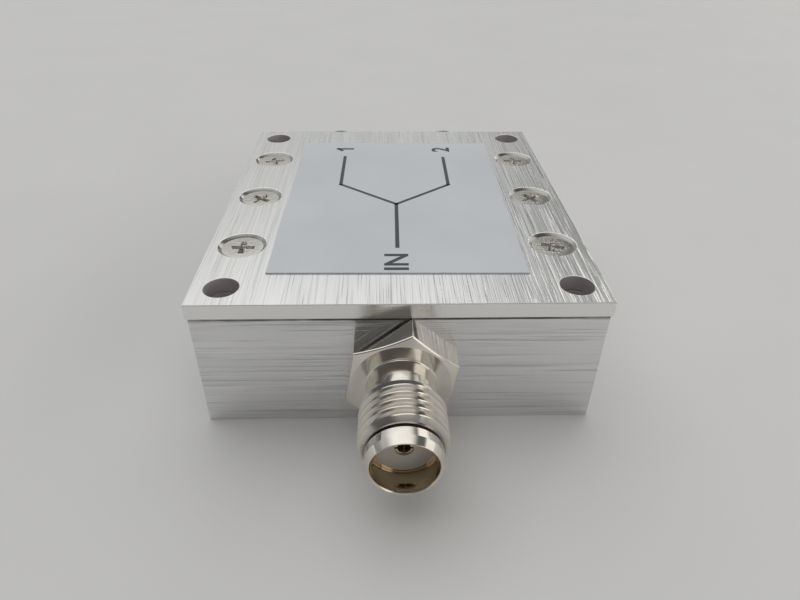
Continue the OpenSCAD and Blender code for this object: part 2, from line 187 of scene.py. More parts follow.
# %% The start of a node group
def new_group(name, inputs, outputs):
    """An empty group; inputs maps a name to its kind and default."""
    group = bpy.data.node_groups.new(name, "ShaderNodeTree")
    for label, (kind, default) in inputs.items():
        socket = group.interface.new_socket(label, in_out="INPUT", socket_type="NodeSocket" + kind)
        if default is not None:
            socket.default_value = default
    for label, kind in outputs.items():
        group.interface.new_socket(label, in_out="OUTPUT", socket_type="NodeSocket" + kind)
    return group, group.nodes.new("NodeGroupInput").outputs, group.nodes.new("NodeGroupOutput").inputs


def place_group(tree, group, inputs):
    """The outputs of a node that uses a group in a material's tree."""
    return add(tree, "Group", inputs, node_tree=group).outputs


def noise(tree, vector, scale, detail=2.0, roughness=0.5):
    """A soft noise; scale is in waves per metre of the vector."""
    inputs = {"Vector": vector, "Scale": scale, "Detail": detail, "Roughness": roughness}
    return add(tree, "TexNoise", inputs).outputs[0]


NOISE_SPAN = (0.3, 0.7)
print("noise lies mostly within", NOISE_SPAN)

# %% Brushed lines
PER_MM = 1000.0
# Each layer: waves per millimetre across and along, its own shift, detail, and waver in millimetres
FINE_LAYER = (8.0, 0.06, 3.1, 2.0, 0.1)
COARSE_LAYER = (3.2, 0.05, 11.7, 2.0, 0.2)
SCORE_LAYER = (4.2, 0.06, 23.9, 2.0, 0.15)
BAND_LAYER = (0.35, 0.03, 37.3, 1.0, 0.0)
SCORE_SPAN = (0.50, 0.68)
LAYER_ROUGHNESS = 0.6
WAVER_SCALE = 1.7


def brushed_group():
    """Lines left by brushing. Across and Along are the surface's own directions, in metres."""
    group, given, put = new_group(
        "brushed_lines",
        {"Across": ("Float", 0.0), "Along": ("Float", 0.0), "Fineness": ("Float", 1.0)},
        {"Grain": "Float", "Lines": "Float", "Bands": "Float"},
    )
    across = math_node(group, "MULTIPLY", given["Across"], given["Fineness"])

    def layer(per_mm_across, per_mm_along, shift, detail, waver):
        along = math_node(group, "MULTIPLY_ADD", given["Along"], per_mm_along * PER_MM, shift)
        sway = across
        if waver:
            wander = add(group, "CombineXYZ", {1: along, 2: shift}).outputs[0]
            drift = noise(group, wander, WAVER_SCALE, 1.0)
            sway = math_node(group, "MULTIPLY_ADD", drift, waver * MM, across)
        sway = math_node(group, "MULTIPLY", sway, per_mm_across * PER_MM)
        vector = add(group, "CombineXYZ", {0: sway, 1: along}).outputs[0]
        return noise(group, vector, 1.0, detail, LAYER_ROUGHNESS)

    half = math_node(group, "MULTIPLY", layer(*COARSE_LAYER), 0.5)
    both = math_node(group, "MULTIPLY_ADD", layer(*FINE_LAYER), 0.5, half)
    group.links.new(remap(group, both, *NOISE_SPAN, smooth=False), put["Grain"])
    group.links.new(remap(group, layer(*SCORE_LAYER), *SCORE_SPAN), put["Lines"])
    group.links.new(remap(group, layer(*BAND_LAYER), *NOISE_SPAN), put["Bands"])
    return group


BRUSHED = brushed_group()
print("group:", BRUSHED.name)

# %% Plating with stains and rub marks
STAIN_WAVES = 0.6
STAIN_SPAN = (0.35, 0.68)
RUB_WAVES = 1.4
RUB_SPAN = (0.6, 0.72)
RUB_TURN = (0.4, 0.7, 0.2)
RUB_STRETCH = (6, 0.8, 3)
GRAIN_WAVES = 14


def plating_group():
    """Soft stains and short rub marks on a plated surface."""
    group, given, put = new_group(
        "plating_wear",
        {"Place": ("Vector", None), "Stain Size": ("Float", 1.0)},
        {"Stain": "Float", "Rub": "Float", "Grain": "Float"},
    )
    scale = math_node(group, "DIVIDE", PER_MM, given["Stain Size"])
    stain = noise(group, given["Place"], math_node(group, "MULTIPLY", scale, STAIN_WAVES), 3.0)
    group.links.new(remap(group, stain, *STAIN_SPAN), put["Stain"])
    turned = {"Vector": given["Place"], "Rotation": RUB_TURN, "Scale": RUB_STRETCH}
    stretch = add(group, "Mapping", turned)
    rub = noise(group, stretch.outputs[0], RUB_WAVES * PER_MM, 2.0)
    group.links.new(remap(group, rub, *RUB_SPAN), put["Rub"])
    grain = noise(group, given["Place"], GRAIN_WAVES * PER_MM, 2.0)
    group.links.new(grain, put["Grain"])
    return group


PLATING = plating_group()
print("group:", PLATING.name)

# %% Fine speckle
SPECK_EDGE = (0.12, 0.3)


def speckle_group():
    """Fine grain and sparse specks, for moulded and fired parts."""
    group, given, put = new_group(
        "fine_speckle",
        {"Place": ("Vector", None), "Specks per mm": ("Float", 6.0)},
        {"Grain": "Float", "Specks": "Float"},
    )
    scale = math_node(group, "MULTIPLY", given["Specks per mm"], PER_MM)
    group.links.new(noise(group, given["Place"], scale, 3.0, 0.6), put["Grain"])
    cells = add(group, "TexVoronoi", {"Vector": given["Place"], "Scale": scale})
    group.links.new(remap(group, cells.outputs["Distance"], *SPECK_EDGE, 1.0, 0.0), put["Specks"])
    return group


SPECKLE = speckle_group()
print("group:", SPECKLE.name)

# %% [markdown]
# ## Brushed aluminium
# The case and the lid are bare aluminium, brushed on a belt: the lid's face along the box, the case's
# walls along the horizontal, while the lid's edges were only milled and stay smooth. The surface's own
# normal tells a face from a wall, and the two get their lines in different directions. The lines show as
# darker scores and as fine ridges that spread the light sideways. A painted shadow darkens the case just
# under the lid's edge, the countersinks are painted a darker grey as shade, and the corner holes, cut with a
# drill, are duller and greyer than the brushed faces. The broken edges were filed by hand and are rough, so
# they gather light from all round, and their colour is painted whiter as a highlight, so they show as pale
# lines.

# %% Aluminium finish
# Painted shadow: the case is darkened in a band just under the lid's edge.
SEAM_DARK = 0.26 * MM
SEAM_END = 0.36 * MM
SEAM_SHADOW_PAINT = rgb(0.11, 0.11, 0.11)
SEAM_WAVES = 0.5
SEAM_WANDER = 0.12 * MM
PATCH_WAVES = 0.35
PATCH_SPAN = (0.3, 0.6)
PATCH_LEAST = 0.6
HOLE_INSET = 2.4 * MM
HOLE_R = 1.35 * MM
SINK_R = 2.05 * MM
RIM = 0.02 * MM
BORE_GREY = rgb(0.80, 0.76, 0.77)
# The countersinks are painted this darker grey as shade, for the dark ring round each screw head.
SINK_SHADE_GREY = rgb(0.42, 0.41, 0.39)
# The filed edges' colour is painted whiter as a highlight line.
EDGE_HIGHLIGHT_WHITE = rgb(0.94, 0.94, 0.93)
FACE_LIMIT = 0.8
EDGE_LIMIT = 0.9
GRAIN_TONE = 0.3
BAND_TONE = 0.12
GRAIN_ROUGH = 0.1
BORE_ROUGH = 0.35
EDGE_ROUGH = 0.3
RIDGE_STRENGTH = 0.7
# Where the lid's screws stand, in millimetres
SCREW_X = 13.2
SCREW_PITCH = 9.6


def within(tree, x, y, radius):
    """1 where a point lies nearer to an axis than a radius, 0 elsewhere."""
    squares = math_node(tree, "MULTIPLY_ADD", x, x, math_node(tree, "MULTIPLY", y, y))
    return math_node(tree, "LESS_THAN", math_node(tree, "SQRT", squares), radius + RIM)


def hole_mask(tree, axes):
    """1 on the walls of the four corner holes."""
    x = math_node(tree, "SUBTRACT", math_node(tree, "ABSOLUTE", axes[0]), lid_high.x - HOLE_INSET)
    y = math_node(tree, "SUBTRACT", math_node(tree, "ABSOLUTE", axes[1]), lid_high.y - HOLE_INSET)
    return within(tree, x, y, HOLE_R)


def sink_mask(tree, axes):
    """1 in the countersinks, three along each side at an even pitch."""
    x = math_node(tree, "SUBTRACT", math_node(tree, "ABSOLUTE", axes[0]), SCREW_X * MM)
    row = math_node(tree, "ROUND", math_node(tree, "DIVIDE", axes[1], SCREW_PITCH * MM))
    row = math_node(tree, "MAXIMUM", math_node(tree, "MINIMUM", row, 1.0), -1.0)
    y = math_node(tree, "MULTIPLY_ADD", row, -SCREW_PITCH * MM, axes[1])
    return within(tree, x, y, SINK_R)


def painted_seam_shadow(tree, axes, place):
    """How much painted shadow darkens the case under the lid's edge, uneven along it."""
    below = math_node(tree, "SUBTRACT", lid_low.z, axes[2])
    uneven = noise(tree, place, SEAM_WAVES * PER_MM)
    edge = math_node(tree, "MULTIPLY_ADD", uneven, SEAM_WANDER, below)
    fade = remap(tree, edge, SEAM_DARK, SEAM_END, 1.0, 0.0)
    patches = remap(tree, noise(tree, place, PATCH_WAVES * PER_MM), *PATCH_SPAN, PATCH_LEAST, 1.0)
    under_lid = math_node(tree, "GREATER_THAN", below, -RIM)
    return math_node(tree, "MULTIPLY", fade, math_node(tree, "MULTIPLY", patches, under_lid))


def brushed_aluminium(name, light, dark, rough, score_depth, wall_lines, wall_rough, ridges, **constants):
    """Bare brushed metal; wall_lines is how much of the brushing is left on the upright faces.

    The brushing's ridges are given by their height in millimetres."""
    material, tree, shader, place = new_material(name, Metallic=1.0, **constants)
    axes = add(tree, "SeparateXYZ", {0: place}).outputs
    facing = add(tree, "SeparateXYZ", {0: add(tree, "TexCoord").outputs["Normal"]}).outputs
    on_face = math_node(tree, "GREATER_THAN", math_node(tree, "ABSOLUTE", facing[2]), FACE_LIMIT)
    level = math_node(tree, "ADD", axes[0], axes[1])
    across = add(tree, "Mix", {0: on_face, 2: axes[2], 3: axes[0]}).outputs[0]
    along = add(tree, "Mix", {0: on_face, 2: level, 3: axes[1]}).outputs[0]
    lines = place_group(tree, BRUSHED, {"Across": across, "Along": along, "Fineness": 1.0})
    amount = remap(tree, on_face, 0.0, 1.0, wall_lines, 1.0, smooth=False)
    tone = math_node(tree, "MULTIPLY_ADD", lines["Grain"], -GRAIN_TONE, GRAIN_TONE)
    tone = math_node(tree, "MULTIPLY_ADD", lines["Lines"], score_depth, tone)
    tone = math_node(tree, "MULTIPLY_ADD", lines["Bands"], BAND_TONE, tone)
    metal = mix_colours(tree, math_node(tree, "MULTIPLY", tone, amount), light, dark)
    off_face = math_node(tree, "SUBTRACT", 1.0, on_face)
    # Painted shadow on the case under the lid's edge.
    shaded_metal = mix_colours(tree, painted_seam_shadow(tree, axes, place), metal, SEAM_SHADOW_PAINT)
    # Painted shade: the countersinks' walls take a darker grey.
    sunk = math_node(tree, "MULTIPLY", sink_mask(tree, axes), off_face)
    shaded_metal = mix_colours(tree, sunk, shaded_metal, SINK_SHADE_GREY)
    bored = math_node(tree, "MULTIPLY", hole_mask(tree, axes), off_face)
    shaded_metal = mix_colours(tree, bored, shaded_metal, BORE_GREY)
    # Painted highlight: edges that are neither face nor wall take a whiter colour; they are rougher too.
    sides = [math_node(tree, "ABSOLUTE", facing[side]) for side in range(3)]
    squareness = math_node(tree, "MAXIMUM", sides[0], math_node(tree, "MAXIMUM", sides[1], sides[2]))
    uncut = math_node(tree, "SUBTRACT", 1.0, math_node(tree, "MAXIMUM", sunk, bored))
    edge = math_node(tree, "MULTIPLY", math_node(tree, "LESS_THAN", squareness, EDGE_LIMIT), uncut)
    tree.links.new(mix_colours(tree, edge, shaded_metal, EDGE_HIGHLIGHT_WHITE), shader.inputs["Base Color"])
    smoothest = remap(tree, on_face, 0.0, 1.0, wall_rough, rough, smooth=False)
    smoothest = math_node(tree, "MULTIPLY_ADD", bored, BORE_ROUGH, smoothest)
    smoothest = math_node(tree, "MULTIPLY_ADD", edge, EDGE_ROUGH, smoothest)
    uneven = math_node(tree, "MULTIPLY_ADD", lines["Grain"], GRAIN_ROUGH, smoothest)
    tree.links.new(uneven, shader.inputs["Roughness"])
    ridge = math_node(tree, "SUBTRACT", lines["Grain"], lines["Lines"])
    set_bump(tree, shader, math_node(tree, "MULTIPLY", ridge, amount), RIDGE_STRENGTH, ridges)
    return material


LID_ALUMINIUM = brushed_aluminium(
    "brushed_lid", rgb(0.87, 0.87, 0.86), rgb(0.50, 0.51, 0.51),
    rough=0.20, score_depth=0.25, wall_lines=0.08, wall_rough=0.14, ridges=0.020,
)
CASE_ALUMINIUM = brushed_aluminium(
    "brushed_case", rgb(0.86, 0.86, 0.86), rgb(0.42, 0.42, 0.43),
    rough=0.24, score_depth=0.38, wall_lines=1.0, wall_rough=0.18, ridges=0.022,
    Anisotropic=0.6, Anisotropic_Rotation=0.25,
)
print("finishes:", LID_ALUMINIUM.name, CASE_ALUMINIUM.name)

# %% [markdown]
# ## Nickel, gold and solder
# The jacks are nickel-plated brass, slightly warm. The screws carry the same plating, thinner, and are
# painted darker and warmer in and round their recesses as shade. The rebuilt jacks and screws bring a value
# named recess, which grows from 0 on the open surface to 1 deep in a groove or a slot: painted shade darkens
# the colour along it, and roughness and, on the screws, a driver's bruises follow it. A second value,
# inside, is 1 in a jack's bore, where the colour is darker and brassy.

# %% Plated finishes
BRUISES = 4.0
# The colour in a jack's bore: darker and brassy.
BORE_BRASS_TONE = rgb(0.50, 0.39, 0.25)
STAIN_TONE = 0.6
RECESS_SHADE_TONE = 0.75
INSIDE_TONE = 0.8
RUB_ROUGH = 0.12
RECESS_ROUGH = 0.15
STAIN_ROUGH = 0.06
RUB_SINK = -0.5


def plated(name, bright, dull, hollow, rough, dents=0.0):
    """Plated metal; dents is how deep a driver has bruised it round its recess, in millimetres."""
    material, tree, shader, place = new_material(name, Metallic=1.0)
    wear = place_group(tree, PLATING, {"Place": place, "Stain Size": 1.0})
    recess = add(tree, "Attribute", attribute_name="recess").outputs["Fac"]
    tone = mix_colours(tree, math_node(tree, "MULTIPLY", wear["Stain"], STAIN_TONE), bright, dull)
    # Painted shade: the colour goes towards the hollow colour where the recess value is high.
    tone = mix_colours(tree, math_node(tree, "MULTIPLY", recess, RECESS_SHADE_TONE), tone, hollow)
    inside = add(tree, "Attribute", attribute_name="inside").outputs["Fac"]
    tone = mix_colours(tree, math_node(tree, "MULTIPLY", inside, INSIDE_TONE), tone, BORE_BRASS_TONE)
    tree.links.new(tone, shader.inputs["Base Color"])
    uneven = math_node(tree, "MULTIPLY_ADD", wear["Rub"], RUB_ROUGH, rough)
    uneven = math_node(tree, "MULTIPLY_ADD", recess, RECESS_ROUGH, uneven)
    uneven = math_node(tree, "MULTIPLY_ADD", wear["Stain"], STAIN_ROUGH, uneven)
    tree.links.new(uneven, shader.inputs["Roughness"])
    if dents:
        bruise = math_node(tree, "MULTIPLY", noise(tree, place, BRUISES * PER_MM, 2.0), recess)
        set_bump(tree, shader, bruise, strength=1.0, distance=dents)
    else:
        rubbed = math_node(tree, "MULTIPLY_ADD", wear["Rub"], RUB_SINK, wear["Grain"])
        set_bump(tree, shader, rubbed, strength=0.1, distance=0.004)
    return material


# The jacks' hollow colour, near black, is painted shade in the groove and the thread's roots.
JACK_NICKEL = plated(
    "nickel_plate", rgb(0.76, 0.73, 0.67), rgb(0.64, 0.60, 0.53), rgb(0.13, 0.11, 0.09), rough=0.09
)
# The screws' hollow colour is painted shade, darker and warmer in and round each recess.
SCREW_NICKEL = plated(
    "screw_plate", rgb(0.66, 0.65, 0.62), rgb(0.56, 0.54, 0.49), rgb(0.36, 0.33, 0.28),
    rough=0.15, dents=0.16,
)
CONTACT_GOLD = plated(
    "gold_plate", rgb(0.84, 0.66, 0.38), rgb(0.74, 0.56, 0.30), rgb(0.45, 0.28, 0.10), rough=0.22
)
SOLDER_TIN = plated(
    "bright_solder", rgb(0.74, 0.75, 0.77), rgb(0.60, 0.61, 0.63), rgb(0.40, 0.40, 0.40), rough=0.25
)
print("finishes:", JACK_NICKEL.name, SCREW_NICKEL.name, CONTACT_GOLD.name, SOLDER_TIN.name)

# %% [markdown]
# ## The label's film and ink
# The label is a satin, pale blue-grey film. Film is never quite flat in its tone, so a slow noise shifts the
# colour a little. The ink is a dark grey print, slightly worn.

# %% Film and ink
FILM_TONES = (rgb(0.665, 0.695, 0.73), rgb(0.715, 0.745, 0.775))
FILM_CLOUDS = 0.09
FILM_SPECK = rgb(0.42, 0.44, 0.47)
FILM_SPECK_TONE = 0.05
FILM_ROUGH = (0.34, 0.46)
INK_TONES = (rgb(0.030, 0.031, 0.036), rgb(0.075, 0.078, 0.09))
INK_WEAR = (0.35, 0.75)
INK_ROUGH = (0.4, 0.55)


def label_film():
    """The satin film, a little uneven in tone."""
    material, tree, shader, place = new_material("satin_film", IOR=1.46)
    speckle = place_group(tree, SPECKLE, {"Place": place, "Specks per mm": 9.0})
    slow = noise(tree, place, FILM_CLOUDS * PER_MM, 2.0)
    tone = mix_colours(tree, remap(tree, slow, *NOISE_SPAN), *FILM_TONES)
    specks = math_node(tree, "MULTIPLY", speckle["Specks"], FILM_SPECK_TONE)
    tone = mix_colours(tree, specks, tone, FILM_SPECK)
    tree.links.new(tone, shader.inputs["Base Color"])
    tree.links.new(remap(tree, speckle["Grain"], *NOISE_SPAN, *FILM_ROUGH), shader.inputs["Roughness"])
    set_bump(tree, shader, speckle["Grain"], strength=0.08, distance=0.01)
    return material


def label_ink():
    """The dark print, a little worn."""
    material, tree, shader, place = new_material("print_ink", IOR=1.5)
    speckle = place_group(tree, SPECKLE, {"Place": place, "Specks per mm": 14.0})
    worn = remap(tree, speckle["Grain"], *INK_WEAR)
    tone = mix_colours(tree, worn, *INK_TONES)
    tree.links.new(tone, shader.inputs["Base Color"])
    tree.links.new(remap(tree, speckle["Grain"], *NOISE_SPAN, *INK_ROUGH), shader.inputs["Roughness"])
    return material


LABEL_FILM = label_film()
LABEL_INK = label_ink()
print("finishes:", LABEL_FILM.name, LABEL_INK.name)

# %% [markdown]
# ## The parts inside
# The board is green where resist covers it and bright where copper stands above the laminate, which its
# height tells. Ferrite is dull and speckled, the winding wire is copper under a clear enamel, and the
# chip parts have tinned ends, which the distance from each chip's middle tells.

# %% Insulator, ferrite and wire
def speckled(name, base, specks, strength, rough_low, rough_high, per_mm, **constants):
    """A speckled finish; its grain goes from one roughness to the other."""
    material, tree, shader, place = new_material(name, **constants)
    speckle = place_group(tree, SPECKLE, {"Place": place, "Specks per mm": per_mm})
    amount = math_node(tree, "MULTIPLY", speckle["Specks"], strength)
    tree.links.new(mix_colours(tree, amount, base, specks), shader.inputs["Base Color"])
    uneven = remap(tree, speckle["Grain"], *NOISE_SPAN, rough_low, rough_high)
    tree.links.new(uneven, shader.inputs["Roughness"])
    set_bump(tree, shader, speckle["Grain"], strength=0.15, distance=0.01)
    return material


# The white insulator is painted a darker grey as shade, for the shadow deep in the jack's mouth.
INSULATOR_SHADE_GREY = speckled(
    "insulator_painted_shade", rgb(0.54, 0.51, 0.46), rgb(0.42, 0.39, 0.34),
    strength=0.25, rough_low=0.32, rough_high=0.45, per_mm=5.0,
)
FERRITE = speckled(
    "grey_ferrite", rgb(0.045, 0.045, 0.05), rgb(0.12, 0.12, 0.13),
    strength=0.6, rough_low=0.55, rough_high=0.8, per_mm=7.0,
)
ENAMELLED_COPPER = speckled(
    "enamelled_wire", rgb(0.62, 0.20, 0.06), rgb(0.42, 0.12, 0.04),
    strength=0.4, rough_low=0.2, rough_high=0.32, per_mm=4.0,
    Metallic=1.0, Coat_Weight=0.6,
)
print("finishes:", INSULATOR_SHADE_GREY.name, FERRITE.name, ENAMELLED_COPPER.name)

# %% Board and chip parts
BOARD_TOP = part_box("circuit_board")[1].z
COPPER_HEIGHT = 0.07 * MM
RESIST_TONES = (rgb(0.02, 0.17, 0.07), rgb(0.05, 0.26, 0.11))
TIN_TONES = (rgb(0.70, 0.70, 0.68), rgb(0.82, 0.80, 0.76))
WEAVE_SCALE = 2.2
WEAVE_GAP = 0.03
WEAVE_TONE = 0.35
BOARD_ROUGH = (0.25, 0.4)
CHIP_LENGTH = 2.0 * MM
TINNED_END = 0.32 * MM
CHIP_TIN = rgb(0.72, 0.73, 0.74)
CHIP_ROUGH = (0.3, 0.5)


def board_green():
    """Green resist over a weave, and tinned copper where the board stands highest."""
    material, tree, shader, place = new_material("green_board")
    height = add(tree, "SeparateXYZ", {0: place}).outputs[2]
    copper = math_node(tree, "GREATER_THAN", height, BOARD_TOP - COPPER_HEIGHT / 2)
    threads = {"Vector": place, "Scale": WEAVE_SCALE * PER_MM, "Mortar Size": WEAVE_GAP}
    weave = math_node(tree, "MULTIPLY", add(tree, "TexBrick", threads).outputs["Fac"], WEAVE_TONE)
    speckle = place_group(tree, SPECKLE, {"Place": place, "Specks per mm": 5.0})
    green = mix_colours(tree, weave, *RESIST_TONES)
    tin = mix_colours(tree, speckle["Grain"], *TIN_TONES)
    tree.links.new(mix_colours(tree, copper, green, tin), shader.inputs["Base Color"])
    tree.links.new(copper, shader.inputs["Metallic"])
    tree.links.new(remap(tree, speckle["Grain"], *NOISE_SPAN, *BOARD_ROUGH), shader.inputs["Roughness"])
    return material


def chip_finish(name, node, spots, body, fleck):
    """A fired chip whose two ends are tinned; spots are the chips' middles along X."""
    material, tree, shader, place = new_material(name)
    x = add(tree, "SeparateXYZ", {0: place}).outputs[0]
    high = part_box(node)[1]
    if len(spots) > 1:
        x = math_node(tree, "SUBTRACT", math_node(tree, "ABSOLUTE", x), abs(spots[0]))
    end = high.x - max(spots) - TINNED_END
    tinned = math_node(tree, "GREATER_THAN", math_node(tree, "ABSOLUTE", x), end)
    speckle = place_group(tree, SPECKLE, {"Place": place, "Specks per mm": 8.0})
    fired = mix_colours(tree, speckle["Specks"], body, fleck)
    tree.links.new(mix_colours(tree, tinned, fired, CHIP_TIN), shader.inputs["Base Color"])
    tree.links.new(tinned, shader.inputs["Metallic"])
    tree.links.new(remap(tree, speckle["Grain"], *NOISE_SPAN, *CHIP_ROUGH), shader.inputs["Roughness"])
    return material


BOARD_GREEN = board_green()
capacitor_low, capacitor_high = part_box("chip_capacitors")
capacitor_spots = [capacitor_low.x + CHIP_LENGTH / 2, capacitor_high.x - CHIP_LENGTH / 2]
RESISTOR_BLACK = chip_finish(
    "black_chip", "isolation_resistor", [0.0], rgb(0.02, 0.02, 0.022), rgb(0.05, 0.05, 0.05)
)
CAPACITOR_TAN = chip_finish(
    "tan_chip", "chip_capacitors", capacitor_spots, rgb(0.42, 0.30, 0.18), rgb(0.52, 0.40, 0.26)
)
print("finishes:", BOARD_GREEN.name, RESISTOR_BLACK.name, CAPACITOR_TAN.name)

# %% [markdown]
# ## Finishing a piece
# Pieces are drawn in millimetres in a bmesh and moved to their place at the end, so that every object
# sits at the origin. Round forms are shaded smooth, and edges sharper than a set angle stay crisp.

# %% Finish helper
CRISP_ANGLE = math.radians(14)
MERGE_GAP = 1e-5
SLACK = 1e-4


def finish_piece(bm, name, materials, replaced):
    """Makes a bmesh that is in its place an object, on the root body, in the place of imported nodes."""
    mesh = bpy.data.meshes.new(name)
    bm.to_mesh(mesh)
    bm.free()
    mesh.shade_smooth()
    mesh.set_sharp_from_angle(angle=CRISP_ANGLE)
    for material in materials:
        mesh.materials.append(material)
    piece = bpy.data.objects.new(name, mesh)
    bpy.context.scene.collection.objects.link(piece)
    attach(piece, "root")
    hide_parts(*replaced)
    print(name, len(mesh.polygons), "faces")
    return piece


def merge_and_turn_out(bm):
    """Closes the seams of a spun shape and points its faces outwards."""
    bmesh.ops.remove_doubles(bm, verts=bm.verts, dist=MERGE_GAP)
    bmesh.ops.recalc_face_normals(bm, faces=bm.faces)


def spin_chain(bm, chain, steps):
    """Spins a chain of (radius, height) points about Z; the seam is merged later."""
    verts = [bm.verts.new((radius, 0, height)) for radius, height in chain]
    edges = [bm.edges.new(pair) for pair in zip(verts, verts[1:])]
    bmesh.ops.spin(
        bm, geom=verts + edges, cent=(0, 0, 0), axis=(0, 0, 1),
        angle=2 * math.pi, steps=steps, use_merge=True,
    )


print("crisp above", round(math.degrees(CRISP_ANGLE)), "degrees")

# %% [markdown]
# ## A true thread
# The jack's coupling thread has 36 turns to the inch. One tooth is drawn as a short chain, one pitch
# high, and spun through several turns while each step also climbs, so that every turn meets the last. Two
# planes then trim the ends square. A thread is led in by a bevel, so its points are drawn in to a cone
# near both ends.

# %% Thread
FLANK_ANGLE = math.radians(30)
CREST_SHARE = 1 / 8
RUN_IN = 1.5
SPARE_TURNS = 2
TRIM_GAP = 1e-6


def thread_band(crest, depth, pitch, low, high, lead_low, lead_high, steps):
    """An open threaded tube from height low to high; lead is the radius that each end is drawn in to."""
    bm = bmesh.new()
    root = crest - depth
    flank = depth * math.tan(FLANK_ANGLE)
    flat = pitch * CREST_SHARE
    valley = (pitch - flat - 2 * flank) / 2
    heights = (0, valley, valley + flank, valley + flank + flat, pitch - valley, pitch)
    radii = (root, root, crest, crest, root, root)
    verts = [bm.verts.new((radius, 0, low - RUN_IN * pitch + z)) for radius, z in zip(radii, heights)]
    edges = [bm.edges.new(pair) for pair in zip(verts, verts[1:])]
    turns = math.ceil((high - low) / pitch) + SPARE_TURNS
    bmesh.ops.spin(
        bm, geom=verts + edges, cent=(0, 0, 0), axis=(0, 0, 1), dvec=(0, 0, pitch / steps),
        angle=2 * math.pi * turns, steps=steps * turns, use_merge=False,
    )
    bmesh.ops.remove_doubles(bm, verts=bm.verts, dist=MERGE_GAP)
    for height, outward in ((low, -1), (high, 1)):
        bmesh.ops.bisect_plane(
            bm, geom=bm.verts[:] + bm.edges[:] + bm.faces[:], dist=TRIM_GAP,
            plane_co=(0, 0, height), plane_no=(0, 0, outward), clear_outer=True,
        )
    for vert in bm.verts:
        radius = vert.co.xy.length
        limit = min(lead_low + vert.co.z - low, lead_high + high - vert.co.z)
        if radius > limit:
            vert.co.xy *= limit / radius
    return bm


def bridge_open_ends(bm, split):
    """Joins the open loops of a turned body and its thread, below and above a height."""
    loose = [edge for edge in bm.edges if edge.is_boundary]
    for side in (-1, 1):
        ends = [edge for edge in loose if (edge.verts[0].co.z - split) * side > 0]
        bmesh.ops.bridge_loops(bm, edges=ends)


def add_band(bm, band):
    """Copies a threaded tube into a body and frees it."""
    mesh = bpy.data.meshes.new("band")
    band.to_mesh(mesh)
    band.free()
    bm.from_mesh(mesh)
    bpy.data.meshes.remove(mesh)


print("thread tool ready")

# %% [markdown]
# ## The jack shells
# A shell is turned from bar: its outline is spun about the axis, from the end of the thread over the
# nose, down the bore and round the stub to the hexagon and the neck. The hexagon is then milled: every
# point of its rim moves in to the six flats, and the bevel's edge drops towards the corners, as it does
# on a real nut. Last come small breaks on the sharp edges, which catch the light, and the thread.

# %% Jack sizes in millimetres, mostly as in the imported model
HEX_FLATS = 8.0
HEX_HIGH = 2.55
HEX_FACE_R = 3.8
HEX_BEVEL = math.tan(math.radians(20))
HEX_CORNER_R = HEX_FLATS / 2 / math.cos(math.radians(30))
HEX_TURNS = {"input": 10.0, "output_1": 47.0, "output_2": 22.0}
NECK_R = 2.65
THREAD_START = 4.75
THREAD_END = 9.0
THREAD_R = 3.175
THREAD_PITCH = 25.4 / 36
THREAD_DEPTH = 0.40
THREAD_LEAD = 0.4
THREAD_GAP = 0.04
# How far the thread's roots are painted darker as shade.
THREAD_ROOT_SHADE = 0.55
GROOVE_R = 2.55
COLLAR_START = 9.15
COLLAR_R = 2.7
COLLAR_TAPER = 0.25
TAPER_LENGTH = 0.6
JACK_REACH = (case_low.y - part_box("shell_input")[0].y) / MM
MOUTH_R = 2.3
MOUTH_DEPTH = 1.8
MOUTH_BEVEL = 0.1
BORE_R = 2.07
STUB_R = 3.0
STUB_LENGTH = 3.7
STUB_BEVEL = 0.4
SHELL_STEPS = 96
NECK_FILLET = 0.14
FILLET_STEPS = 8
SHARP_ANGLE = math.radians(25)
EDGE_BREAK = 0.035
HEX_EDGE_BREAK = 0.09
print("thread pitch", round(THREAD_PITCH, 3), "mm; hexagon corners at", round(HEX_CORNER_R, 3), "mm")

# %% Shell outline
def shell_chain():
    """The shell's outline as (radius, height) points, open where the thread goes."""
    nose = [
        (GROOVE_R, THREAD_END), (GROOVE_R, COLLAR_START), (COLLAR_R, COLLAR_START),
        (COLLAR_R, JACK_REACH - TAPER_LENGTH), (COLLAR_R - COLLAR_TAPER, JACK_REACH),
        (MOUTH_R + MOUTH_BEVEL, JACK_REACH), (MOUTH_R, JACK_REACH - MOUTH_BEVEL),
        (MOUTH_R, JACK_REACH - MOUTH_DEPTH), (BORE_R, JACK_REACH - MOUTH_DEPTH),
    ]
    stub = [
        (BORE_R, -STUB_LENGTH), (STUB_R - STUB_BEVEL, -STUB_LENGTH), (STUB_R, STUB_BEVEL - STUB_LENGTH),
        (STUB_R, 0), (HEX_CORNER_R, 0), (HEX_CORNER_R, HEX_HIGH), (HEX_FACE_R, HEX_HIGH),
    ]
    fillet = [
        (NECK_R + NECK_FILLET * (1 - math.sin(turn)), HEX_HIGH + NECK_FILLET * (1 - math.cos(turn)))
        for turn in (math.radians(step * 90 / FILLET_STEPS) for step in range(FILLET_STEPS + 1))
    ]
    return nose + stub + fillet + [(NECK_R, THREAD_START)]


def mill_hexagon(bm):
    """Moves the rim of the turned blank in to six flats, with a corner on the X axis."""
    for vert in bm.verts:
        radius = vert.co.xy.length
        if radius < HEX_CORNER_R - SLACK:
            continue
        angle = math.atan2(vert.co.y, vert.co.x) % math.radians(60) - math.radians(30)
        flat = HEX_FLATS / 2 / math.cos(angle)
        vert.co.xy *= flat / radius
        if vert.co.z > HEX_HIGH / 2:
            vert.co.z = HEX_HIGH - (flat - HEX_FACE_R) * HEX_BEVEL


def break_edges(bm, width, chosen):
    """Bevels the sharp edges whose middle is chosen."""
    sharp = [edge for edge in bm.edges if edge.is_manifold and edge.calc_face_angle() > SHARP_ANGLE]
    near = [edge for edge in sharp if chosen((edge.verts[0].co + edge.verts[1].co) / 2)]
    bmesh.ops.bevel(
        bm, geom=near, offset=width, affect="EDGES", segments=2, profile=0.5, material=-1,
        clamp_overlap=True,
    )


